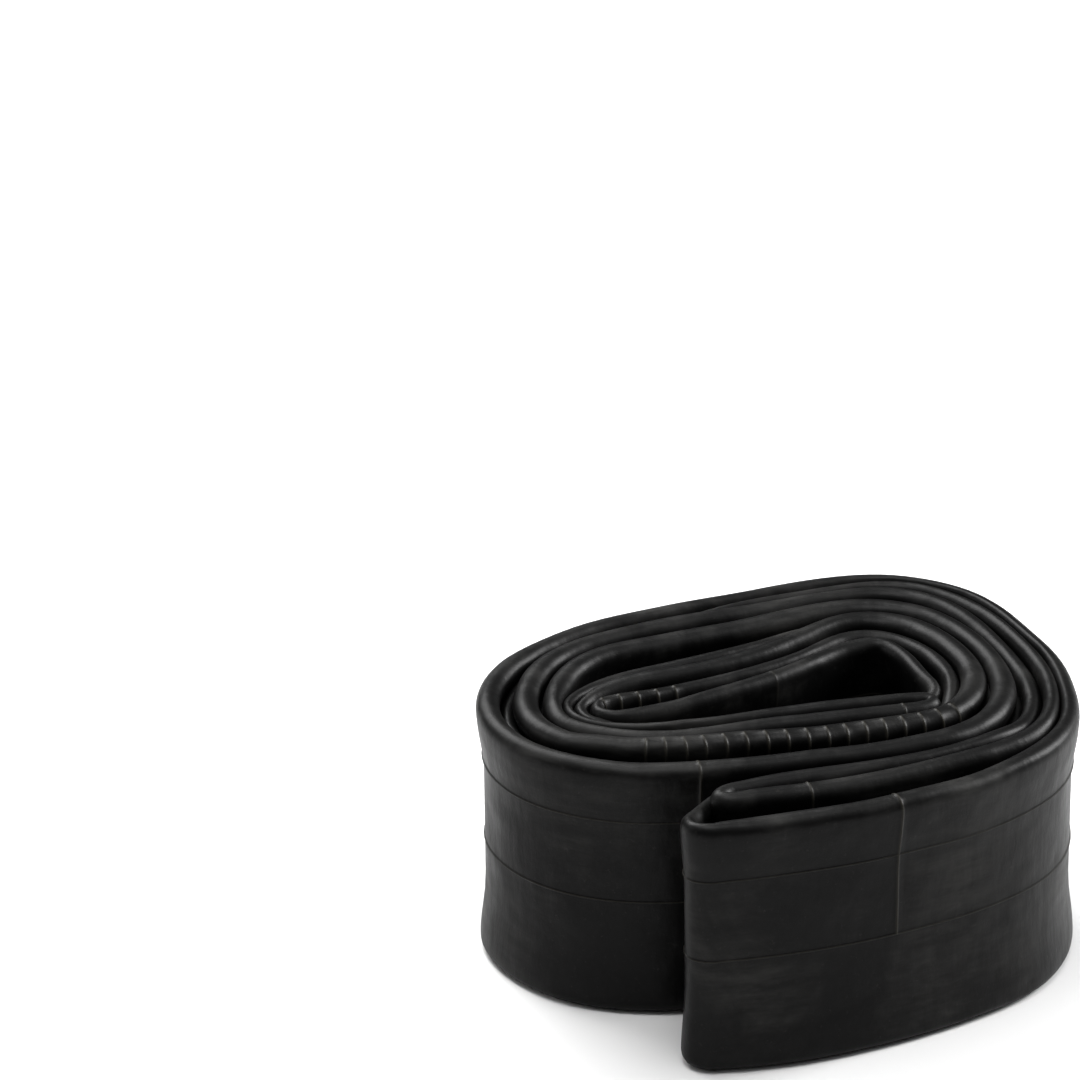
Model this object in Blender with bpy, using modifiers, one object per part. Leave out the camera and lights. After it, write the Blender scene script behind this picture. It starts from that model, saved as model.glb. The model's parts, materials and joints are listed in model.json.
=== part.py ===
"""A 29-inch bicycle inner tube, pressed flat, folded twice and rolled into an oval coil.

The coil stands on its long edges, with the valve lying in the hollow at its middle.
Units are metres and +Z is up. Plan points are in millimetres from the hub of the coil.
"""

import math

import bmesh
import bpy
from mathutils import Matrix, Vector

MM = 0.001
GAP = 0.3

# Coil
HUB = (8.1, -0.63)  # the hub of the coil, from the middle of its footprint
FLAT_WIDTH = 50.0  # width of the tube pressed flat, which is the height of the coil
TUBE_THICKNESS = 1.7  # two walls of 0.85
EDGE_ROUNDING = 0.4
STEP_ANGLE = 22.0  # most that the strip turns in one span

# Valve, measured along the stem from its foot
VALVE_FOOT = (19.95, 2.75)  # in the plan of the coil
VALVE_HEIGHT = 25.0
VALVE_TURN = 176.0  # degrees from +X
PATCH_RADIUS = 5.0
PATCH_THICKNESS = 1.2
PATCH_FEATHER = 0.6
STEM_LENGTH = 48.0
STEM_BORE = 2.2
NECK_RADIUS = 2.9
SLEEVE_RADIUS = 4.2
SLEEVE_END = 33.6
CHAMFER = 0.5
THREAD_START = 37.5
THREAD_RADIUS = 3.8
THREAD_ROOT = 3.4
THREAD_PITCH = 0.794
THREAD_CRESTS = 12
FIRST_CREST = 0.8
HEAD_BORE = 2.75
HEAD_BORE_START = 41.0
PLUG_RADIUS = 2.45
PLUG_START = 41.3
PLUG_END = 46.8
PLUG_SEAT = 1.6  # depth at which the plug takes the end of the barrel
FLAT_SIZE = (4.0, 3.0, 8.0)  # cutter for each of the two flats of the plug
FLAT_OFFSET = 2.8
BARREL_RADIUS = 1.85
BARREL_BORE = 1.42
BARREL_START = 34.6
GROOVE_DEPTH = 0.45  # the gasket lies in this groove of the barrel
GROOVE_END = 1.6
BARREL_FLOOR = 2.4
PIN_RADIUS = 0.5
PIN_FOOT = 29.0
PIN_FOOT_RADIUS = 0.8
PIN_HEAD_RADIUS = 0.75
PIN_HEAD_LENGTH = 0.4
PIN_END = 47.6
PIN_TRAVEL = 1.2
COLLAR_RADIUS = 1.1
COLLAR_WIDTH = 0.6
CUP_LENGTH = 2.2
CUP_RIM = 1.0
CUP_NARROW = 1.3
CUP_RADIUS = 1.75
SPRING_WIRE = 0.14  # radius of the wire
SPRING_RADIUS = 0.98
SPRING_TURNS = 5
SPRING_STEPS = 12
CAP_RADIUS = 4.7
CAP_BORE = 4.1
CAP_START = 38.4
CAP_END = 50.4
CAP_ROOF = 1.3
CAP_EDGE = 0.3
CAP_CROWN = 0.8
ROUND_STEPS = 24

# The strip once round its loop: four layers wound together, doubled back at both ends.
CENTRELINE = (
    # outer fold, then the front flap
    (-46.8, -31.6), (-44.6, -33.9), (-40, -35.2), (-30, -37.6), (-18, -39.4),
    (-4, -39.8), (9, -38.7), (21.2, -35.8), (28.8, -31.6),
    # first layer, round the right, back and left
    (33.4, -27.4), (37.2, -22), (40.2, -16), (42.9, -7.5), (44.2, 4), (44.6, 14.6),
    (42.7, 23.3), (38.6, 29.8), (31.8, 35), (25, 37.8), (16, 39), (3.6, 39.7),
    (-12.6, 40.8), (-20.9, 41.1), (-29, 40.8), (-39.5, 38.6), (-48.2, 34.2),
    (-54.4, 28.9), (-59, 22.4), (-60.8, 15.4), (-60.4, 8.6), (-58.2, 2),
    # across the front and round again, to the pocket
    (-54, -4.2), (-46, -10.4), (-38, -13.9), (-30, -16.3), (-17, -19.2), (-6, -21.8),
    (6, -23.4), (14, -23.1), (20.9, -20.9), (25.2, -17.6), (28.8, -13.4), (31.8, -7.6),
    (33.8, -0.6), (34.3, 8), (32.8, 17.6), (27.6, 24.8), (20.6, 28.2), (12, 29.2),
    (3.2, 29.7), (-6, 29.6), (-14, 30.5), (-22, 31.3), (-30, 31.4), (-37, 29.2),
    (-42.2, 25.4), (-46, 21), (-48.6, 16), (-49.1, 11.6), (-45.8, 5), (-36.6, -3.2),
    (-30, -4.5), (-10, -6.8), (-2.6, -8.6), (5, -10.4), (11.2, -11.5),
    # pocket fold, then back to the outer layers
    (15.2, -10.9), (14.9, -9.2), (12, -8.7), (5, -7.3), (-10, -3.4), (-30, -2.3),
    (-36, -1.1), (-40.4, 2.3), (-44.7, 7), (-46.8, 12.2), (-46, 17), (-42.3, 20.6),
    (-35, 23.8), (-27, 24.6), (-12, 23.8), (-1, 24.2), (10, 26), (18.4, 26.2),
    (24.8, 23.9), (29.9, 18), (32.1, 10), (31.7, -0.5), (29.6, -7), (26.4, -12.2),
    (22.6, -16.2), (17.6, -18.7), (12, -19.8), (5, -19.8), (-10, -16.8), (-30, -12.4),
    (-39.4, -9.4), (-50, -1.6), (-54.8, 4.5), (-57.3, 12), (-56.2, 20), (-52.2, 26.6),
    (-46.6, 31.8), (-39, 36.5), (-29, 38.8), (-20, 38.9), (-10, 38.3), (0, 37.4),
    (8, 36.8), (15.4, 36.1), (23.6, 35.1), (30.6, 33.1), (36.4, 28.9), (40.7, 22),
    (42.4, 12.4), (41.9, 2), (40.7, -6.6), (38, -14.4), (35, -20.2), (31.6, -24.8),
    (26.8, -28.4), (18.4, -30.6), (7, -31.4), (-10, -30.6), (-20, -29.2), (-30, -27.4),
    # inner fold of the flap
    (-35.5, -26.8), (-38, -25.2), (-35.6, -23.6), (-30, -23.4), (-20, -24.9),
    (-10, -26.8), (0, -28.2), (10, -28.5), (19.6, -27.1), (25.6, -24.7), (30.4, -20.4),
    (33.8, -14.8), (36.7, -7), (38.6, 4), (37.9, 16.6), (35, 24.8), (29.4, 30.5),
    (21.8, 32.5), (13.6, 33.7), (5.5, 34.5), (-2.7, 35.1), (-10.6, 36.1), (-18.5, 36.8),
    (-27, 36.8), (-35, 35.5), (-39, 34), (-42.4, 32), (-46, 28.9), (-49.8, 24.4),
    (-52.8, 19), (-54, 12.4), (-51.8, 4.9), (-48, 0), (-38.4, -7.2), (-30, -9.1),
    (-20, -10.7), (-10, -12.6), (2, -14.9), (9.8, -16.1), (16, -15.5), (20.5, -13.4),
    (24.2, -10.2), (27.4, -5.8), (29.5, -0.2), (30, 7.4), (27.9, 16.3), (23.2, 21.7),
    (17.2, 23.6), (7.4, 21.5), (-2.8, 18.8), (-12.4, 18), (-20.8, 18.2), (-28.6, 19.4),
    (-36.4, 19.6), (-41, 18.1), (-43.9, 15.4), (-44.4, 12), (-42.3, 8.3),
    # round the hollow
    (-38.5, 3.9), (-34.6, 0.6), (-30, -0.2), (-10, -1.1), (6, -4.8), (12, -6.2),
    (17, -6.2), (20.7, -3.6), (21.2, 2.5), (21.5, 8.4), (18.9, 14.4), (12.3, 15.7),
    (1.6, 12.5), (-9, 11.2), (-27, 11.9), (-36, 12.6), (-40, 12.8),
    # innermost fold
    (-41.4, 14), (-40, 15.5), (-35, 15.4), (-27, 14.8), (-14, 14.4), (-5, 14.6),
    (4, 16.2), (11.6, 19.2), (19, 19.2), (23.9, 13.6), (25.4, 6), (24.8, -0.4),
    (22.9, -5), (20.4, -9), (17.6, -12.3), (12.6, -13.8), (6, -13.3), (-10, -9.9),
    (-30, -6.9), (-37.4, -5.3), (-47, 2.9), (-50, 7.2), (-51.6, 12), (-50.4, 18),
    (-47.2, 23.6), (-43.6, 27.9), (-38.4, 31.6), (-32, 33.7), (-22, 34.1), (-12, 33.3),
    (0, 32.3), (11, 31.4), (20.6, 30.35), (28.4, 27.9), (34, 20.8), (36.3, 12.5),
    (36.5, 5), (35.9, -1.5), (34.2, -7.6), (30.8, -15), (27.4, -19.6), (22.8, -23.4),
    (15.8, -25.6), (7, -25.9), (-3, -24.9), (-10, -23.8), (-20, -21.8), (-30, -20.1),
    (-36.7, -21.2), (-42, -24.8), (-45.8, -28.4),
)

for old in list(bpy.data.objects):
    bpy.data.objects.remove(old, do_unlink=True)

parts = bpy.data.collections.new("folded_inner_tube")
cutters = bpy.data.collections.new("cutters")
bpy.context.scene.collection.children.link(parts)
bpy.context.scene.collection.children.link(cutters)


def material(name, colour, metallic, roughness):
    made = bpy.data.materials.new(name)
    made.use_nodes = True
    shader = made.node_tree.nodes["Principled BSDF"]
    shader.inputs["Base Color"].default_value = (*colour, 1.0)
    shader.inputs["Metallic"].default_value = metallic
    shader.inputs["Roughness"].default_value = roughness
    return made


BUTYL = material("butyl_rubber", (0.035, 0.035, 0.037), 0.0, 0.5)
PATCH_RUBBER = material("patch_rubber", (0.045, 0.044, 0.043), 0.0, 0.65)
SLEEVE_RUBBER = material("sleeve_rubber", (0.03, 0.03, 0.031), 0.0, 0.55)
STEM_BRASS = material("stem_brass", (0.78, 0.6, 0.3), 1.0, 0.3)
PLUG_BRASS = material("plug_brass", (0.72, 0.52, 0.24), 1.0, 0.35)
BARREL_BRASS = material("barrel_brass", (0.74, 0.56, 0.28), 1.0, 0.35)
GASKET_RUBBER = material("gasket_rubber", (0.4, 0.06, 0.04), 0.0, 0.6)
PIN_BRASS = material("pin_brass", (0.76, 0.58, 0.3), 1.0, 0.3)
CUP_RUBBER = material("cup_rubber", (0.05, 0.05, 0.05), 0.0, 0.6)
SPRING_STEEL = material("spring_steel", (0.6, 0.6, 0.62), 1.0, 0.25)
CAP_PLASTIC = material("cap_plastic", (0.02, 0.02, 0.022), 0.0, 0.4)
SEAL_RUBBER = material("seal_rubber", (0.06, 0.06, 0.06), 0.0, 0.7)


def finish(obj, surface, parent=None, smooth=True):
    """Puts the object in the parts collection with its material."""
    parts.objects.link(obj)
    obj.data.materials.append(surface)
    obj.parent = parent
    if smooth and obj.type == "MESH":
        obj.data.polygons.foreach_set("use_smooth", [True] * len(obj.data.polygons))
    return obj


def empty(name, parent=None, along=0.0):
    """An empty on the valve's axis, a distance in millimetres along it."""
    made = bpy.data.objects.new(name, None)
    made.empty_display_size = 0.004
    made.parent = parent
    made.location = (along * MM, 0.0, 0.0)
    parts.objects.link(made)
    return made


def on_curve(p0, p1, p2, p3, share):
    """A point between p1 and p2 on the centripetal Catmull-Rom curve through four points."""
    t1 = math.sqrt((p1 - p0).length)
    t2 = t1 + math.sqrt((p2 - p1).length)
    t3 = t2 + math.sqrt((p3 - p2).length)
    t = t1 + (t2 - t1) * share
    a1 = p0.lerp(p1, t / t1)
    a2 = p1.lerp(p2, (t - t1) / (t2 - t1))
    a3 = p2.lerp(p3, (t - t2) / (t3 - t2))
    b1 = a1.lerp(a2, t / t2)
    b2 = a2.lerp(a3, (t - t1) / (t3 - t1))
    return b1.lerp(b2, (t - t1) / (t2 - t1))


def smooth_loop(points):
    """The closed curve through the points, with more steps where it bends more."""
    loop = []
    for i in range(len(points)):
        p0, p1, p2, p3 = (Vector(points[(i + k) % len(points)]) for k in (-1, 0, 1, 2))
        bend = math.degrees((p1 - p0).angle(p3 - p2))
        steps = 1 + int(bend / STEP_ANGLE)
        loop += [on_curve(p0, p1, p2, p3, step / steps) for step in range(steps)]
    return loop


def polyline(name, points, cyclic):
    """A curve of straight spans through points in millimetres."""
    data = bpy.data.curves.new(name, "CURVE")
    data.dimensions = "3D"
    spline = data.splines.new("POLY")
    spline.points.add(len(points) - 1)
    for point, (x, y, z) in zip(spline.points, points):
        point.co = (x * MM, y * MM, z * MM, 1.0)
    spline.use_cyclic_u = cyclic
    return bpy.data.objects.new(name, data)


def turned(name, outline, surface, parent, closed=True):
    """A solid turned about the valve's axis, from (distance along it, radius) points."""
    mesh = bpy.data.meshes.new(name)
    corners = [(along * MM, radius * MM, 0.0) for along, radius in outline]
    count = len(corners)
    edges = [(i, (i + 1) % count) for i in range(count if closed else count - 1)]
    mesh.from_pydata(corners, edges, [])
    obj = finish(bpy.data.objects.new(name, mesh), surface, parent)
    screw = obj.modifiers.new("turn", "SCREW")
    screw.axis = "X"
    screw.steps = ROUND_STEPS
    screw.render_steps = ROUND_STEPS
    screw.use_merge_vertices = True
    screw.merge_threshold = 0.00001
    screw.use_normal_flip = True
    return obj


def moved_to(obj, along):
    """Moves the origin of a piece along the axis, leaving the piece in place."""
    obj.data.transform(Matrix.Translation((-along * MM, 0.0, 0.0)))
    obj.location = (along * MM, 0.0, 0.0)
    return obj


# The tube: one flattened strip, swept round its loop.
centreline = [(x + HUB[0], y + HUB[1], 0.0) for x, y in smooth_loop(CENTRELINE)]
HALF = TUBE_THICKNESS / 2
section = polyline(
    "flattened_section",
    [
        (HALF, 0.0, 0.0),
        (-HALF, 0.0, 0.0),
        (-HALF, FLAT_WIDTH - EDGE_ROUNDING, 0.0),
        (EDGE_ROUNDING - HALF, FLAT_WIDTH, 0.0),
        (HALF - EDGE_ROUNDING, FLAT_WIDTH, 0.0),
        (HALF, FLAT_WIDTH - EDGE_ROUNDING, 0.0),
    ],
    cyclic=True,
)
section.hide_render = True
section.display_type = "WIRE"
cutters.objects.link(section)
tube = polyline("rubber_tube", centreline, cyclic=True)
tube.data.twist_mode = "Z_UP"
tube.data.bevel_mode = "OBJECT"
tube.data.bevel_object = section
finish(tube, BUTYL)

# The valve lies in the hollow, with its foot against the strip at the right.
valve = empty("valve_axis")
valve.location = (
    (VALVE_FOOT[0] + HUB[0]) * MM,
    (VALVE_FOOT[1] + HUB[1]) * MM,
    VALVE_HEIGHT * MM,
)
valve.rotation_euler = (0.0, 0.0, math.radians(VALVE_TURN))

turned(
    "valve_base_patch",
    [
        (0.0, 0.0),
        (0.0, PATCH_RADIUS),
        (PATCH_THICKNESS - PATCH_FEATHER, PATCH_RADIUS),
        (PATCH_THICKNESS, PATCH_RADIUS - PATCH_FEATHER),
        (PATCH_THICKNESS, 0.0),
    ],
    PATCH_RUBBER,
    valve,
    closed=False,
)

SLEEVE_START = PATCH_THICKNESS + GAP
SLEEVE_BORE = NECK_RADIUS + GAP
turned(
    "stem_rubber_sleeve",
    [
        (SLEEVE_START, SLEEVE_BORE),
        (SLEEVE_START, SLEEVE_RADIUS),
        (SLEEVE_END - CHAMFER, SLEEVE_RADIUS),
        (SLEEVE_END, SLEEVE_RADIUS - CHAMFER),
        (SLEEVE_END, SLEEVE_BORE),
    ],
    SLEEVE_RUBBER,
    valve,
)

thread = []
for crest in range(THREAD_CRESTS):
    along = THREAD_START + FIRST_CREST + crest * THREAD_PITCH
    thread += [(along - THREAD_PITCH / 2, THREAD_ROOT), (along, THREAD_RADIUS)]
turned(
    "valve_stem",
    [
        (SLEEVE_START, STEM_BORE),
        (SLEEVE_START, NECK_RADIUS),
        (THREAD_START, NECK_RADIUS),
        *thread,
        (STEM_LENGTH - CHAMFER, THREAD_ROOT),
        (STEM_LENGTH, THREAD_ROOT - CHAMFER),
        (STEM_LENGTH, HEAD_BORE),
        (HEAD_BORE_START, HEAD_BORE),
        (HEAD_BORE_START - CHAMFER, STEM_BORE),
    ],
    STEM_BRASS,
    valve,
)

# The valve core: a plug and a barrel held in the stem, and a sprung pin through both.
plug = turned(
    "core_plug",
    [
        (PLUG_START, BARREL_BORE),
        (PLUG_START, PLUG_RADIUS),
        (PLUG_END, PLUG_RADIUS),
        (PLUG_END, PIN_RADIUS + GAP),
        (PLUG_START + PLUG_SEAT, PIN_RADIUS + GAP),
        (PLUG_START + PLUG_SEAT, BARREL_BORE),
    ],
    PLUG_BRASS,
    valve,
)
for side in (-1, 1):
    flat = bpy.data.objects.new(f"plug_flat_{side}", bpy.data.meshes.new("plug_flat"))
    shape = bmesh.new()
    bmesh.ops.create_cube(shape, size=1.0)
    bmesh.ops.scale(shape, verts=shape.verts, vec=[size * MM for size in FLAT_SIZE])
    shape.to_mesh(flat.data)
    shape.free()
    flat.parent = valve
    flat.location = (PLUG_END * MM, side * FLAT_OFFSET * MM, 0.0)
    flat.hide_render = True
    flat.display_type = "WIRE"
    cutters.objects.link(flat)
    cut = plug.modifiers.new(f"flat {side}", "BOOLEAN")
    cut.operation = "DIFFERENCE"
    cut.solver = "EXACT"
    cut.object = flat

turned(
    "core_barrel",
    [
        (BARREL_START, PIN_RADIUS + GAP),
        (BARREL_START, BARREL_RADIUS - GROOVE_DEPTH),
        (BARREL_START + GROOVE_END, BARREL_RADIUS - GROOVE_DEPTH),
        (BARREL_START + GROOVE_END, BARREL_RADIUS),
        (PLUG_START - GAP, BARREL_RADIUS),
        (PLUG_START - GAP, BARREL_BORE),
        (BARREL_START + BARREL_FLOOR, BARREL_BORE),
        (BARREL_START + BARREL_FLOOR, PIN_RADIUS + GAP),
    ],
    BARREL_BRASS,
    valve,
)
GASKET_BORE = BARREL_RADIUS - GROOVE_DEPTH + GAP
turned(
    "core_gasket",
    [
        (BARREL_START, GASKET_BORE),
        (BARREL_START, STEM_BORE - GAP),
        (BARREL_START + GROOVE_END - GAP, STEM_BORE - GAP / 3),
        (BARREL_START + GROOVE_END - GAP, GASKET_BORE),
    ],
    GASKET_RUBBER,
    valve,
)

pin_axis = empty("pin_axis", valve, PIN_END)
COLLAR = PLUG_START + PLUG_SEAT / 2
pin = turned(
    "core_pin",
    [
        (PIN_FOOT, 0.0),
        (PIN_FOOT, PIN_FOOT_RADIUS),
        (PIN_FOOT + PIN_FOOT_RADIUS, PIN_FOOT_RADIUS),
        (PIN_FOOT + PIN_FOOT_RADIUS, PIN_RADIUS),
        (COLLAR - COLLAR_WIDTH, PIN_RADIUS),
        (COLLAR - COLLAR_WIDTH, COLLAR_RADIUS),
        (COLLAR, COLLAR_RADIUS),
        (COLLAR, PIN_RADIUS),
        (PIN_END - PIN_HEAD_LENGTH, PIN_RADIUS),
        (PIN_END - PIN_HEAD_LENGTH, PIN_HEAD_RADIUS),
        (PIN_END, PIN_HEAD_RADIUS),
        (PIN_END, 0.0),
    ],
    PIN_BRASS,
    valve,
    closed=False,
)
CUP_END = BARREL_START - GAP
cup = turned(
    "pin_cup",
    [
        (CUP_END - CUP_LENGTH, PIN_RADIUS + GAP),
        (CUP_END - CUP_LENGTH, CUP_NARROW),
        (CUP_END - CUP_RIM, CUP_RADIUS),
        (CUP_END, CUP_RADIUS),
        (CUP_END, PIN_RADIUS + GAP),
    ],
    CUP_RUBBER,
    valve,
)
for piece in (pin, cup):
    moved_to(piece, PIN_END)
    piece.parent = pin_axis
    piece.location = (0.0, 0.0, 0.0)

# The spring is drawn at its shortest, so that the pressed pin clears it.
SPRING_START = BARREL_START + BARREL_FLOOR + GAP + SPRING_WIRE
SPRING_END = COLLAR - COLLAR_WIDTH - PIN_TRAVEL - SPRING_WIRE
SPRING_COUNT = SPRING_TURNS * SPRING_STEPS
coil = []
for step in range(SPRING_COUNT + 1):
    angle = step * math.tau / SPRING_STEPS
    along = SPRING_START + (SPRING_END - SPRING_START) * step / SPRING_COUNT
    coil.append((along, SPRING_RADIUS * math.cos(angle), SPRING_RADIUS * math.sin(angle)))
spring = polyline("core_spring", coil, cyclic=False)
spring.data.bevel_depth = SPRING_WIRE * MM
spring.data.bevel_resolution = 1
spring.data.use_fill_caps = True
finish(spring, SPRING_STEEL, valve)

# The cap screws off along the stem: its seal slides, and the cap turns on the seal.
cap_axis = empty("cap_axis", valve, CAP_END)
CAP_INSIDE = CAP_END - CAP_ROOF
cap = turned(
    "valve_cap",
    [
        (CAP_INSIDE, 0.0),
        (CAP_INSIDE, CAP_BORE),
        (CAP_START, CAP_BORE),
        (CAP_START, CAP_RADIUS - CAP_EDGE),
        (CAP_START + CAP_EDGE, CAP_RADIUS),
        (CAP_END - CAP_CROWN, CAP_RADIUS),
        (CAP_END, CAP_RADIUS - CAP_CROWN),
        (CAP_END, 0.0),
    ],
    CAP_PLASTIC,
    valve,
    closed=False,
)
seal = turned(
    "cap_seal",
    [
        (STEM_LENGTH + GAP, 0.0),
        (STEM_LENGTH + GAP, CAP_BORE - GAP),
        (CAP_INSIDE - GAP, CAP_BORE - GAP),
        (CAP_INSIDE - GAP, 0.0),
    ],
    SEAL_RUBBER,
    valve,
    closed=False,
)
for piece in (cap, seal):
    moved_to(piece, CAP_END)
    piece.parent = cap_axis
    piece.location = (0.0, 0.0, 0.0)
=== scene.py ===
"""Looks of a folded bicycle inner tube: the wound strip, its valve, light and camera."""

import json
import math

import bmesh
import bpy
import numpy as np
from mathutils import Matrix, Vector


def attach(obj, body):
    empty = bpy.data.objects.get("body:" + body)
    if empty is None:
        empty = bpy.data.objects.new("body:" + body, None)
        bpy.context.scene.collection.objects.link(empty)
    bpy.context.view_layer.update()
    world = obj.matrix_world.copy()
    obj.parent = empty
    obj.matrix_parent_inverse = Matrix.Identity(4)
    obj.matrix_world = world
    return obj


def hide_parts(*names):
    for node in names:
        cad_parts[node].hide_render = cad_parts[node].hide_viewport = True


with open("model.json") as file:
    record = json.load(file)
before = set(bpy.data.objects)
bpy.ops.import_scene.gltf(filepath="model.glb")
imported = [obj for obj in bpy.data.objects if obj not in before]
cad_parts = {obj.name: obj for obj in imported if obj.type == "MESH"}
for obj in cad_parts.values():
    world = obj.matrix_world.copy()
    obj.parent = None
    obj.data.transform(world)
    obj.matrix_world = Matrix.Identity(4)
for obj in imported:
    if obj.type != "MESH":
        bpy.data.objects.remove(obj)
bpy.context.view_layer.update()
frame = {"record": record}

MM = 0.001
SEED = 7

# The strip
HUB = np.array((8.1, -0.63))  # the hub of the coil, in the plan of the frame
WIDTH = 50.0  # pressed flat, which is the height of the coil
WALL_HALF = 0.9  # half of two walls lying together
BASE_SHIFT = np.array((1.25, -1.3))  # how far the lower edge lies from under the upper one
LEAN_START = 0.6  # where the upper edges begin to lean, as a share of the width
LEAN_RISE = 0.36  # the share of the width over which they reach their lean

# The folded edges of the strip
TOP_CAP = 2.1  # height of the rounding over an upper edge
BASE_CAP = 1.7  # and under a lower edge
CAP_ANGLES = np.radians([15.0, 30.0, 45.0, 60.0, 75.0])
CAP_POLE = math.radians(89.9)
BASE_LIFT = 0.6  # share of a layer's drop by which its lower edge is lifted
LIFT_FREE = 0.4  # drop that lifts nothing
BASE_SWELL = 2.0  # most that a lower edge swells
OUTER_TAPER = 12.0  # height over which an edge swells where the next layer is far
INNER_TAPER = 5.0  # and where it is close
TAPER_NEAR = 4.0  # the distance of the next layer from which the taper grows
TAPER_SPAN = 5.0  # and the further distance over which it does
CLEARANCE = 0.12  # left between neighbouring layers
SAME_LEVEL = 1.4  # edges whose drops differ by less share the room between them
EDGE_REACH = 1.5  # how far a lower layer's edge reaches towards a higher one
LEAST_REACH = 0.9
FAR_REACH = 1.2  # how far the layer beyond the next one reaches
LEAST_SWELL = 0.05

# How the next layers are found, by a ray to each side of the strip
RAY_STRIDE = 4  # samples of the course in each span that a ray may hit
RAY_START = 0.3
OWN_STRETCH = 2.5  # length of the strip round a station that its rays pass over
LAYER_GAP = 1.0  # how much further than the first layer a second one lies
FAR = 99.0  # stands for a layer that isn't there

# How finely the strip is cut into sections
STATION_GAP = 2.6
STATIONS_PER_RADIAN = 2.2
CURVE_STEPS = 40  # samples between two points of the strip
HEADING_STEP = 0.3  # to each side of a station, for the way the strip runs there

# Lengths over which what holds along the strip is smoothed, in millimetres
FINE_SMOOTHING = 0.7  # of the course at folds
EASY_SMOOTHING = 3.5  # and elsewhere
FOLD_SMOOTHING = 3.0
DROP_SMOOTHING = 4.0
SWELL_SMOOTHING = 3.0
LIMIT_SMOOTHING = 2.0
BEND_SMOOTHING = 0.6
FOLD_BEND = 0.2  # radians per millimetre beyond which a bend is a fold
FOLD_GROWTH = 4.0  # spreads a fold over what lies next to it

# The raised marks
LINE_LEVELS = (0.8, 0.45)  # heights of the two long mould lines, as shares of the width
LINE_HEIGHT = 0.24
LINE_HALF = 0.26
RIB_HEIGHT = 0.24
RIB_HALF = 0.22
INNER_RIB = 0.6  # a mark's height on the strip's other side, as a share

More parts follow.
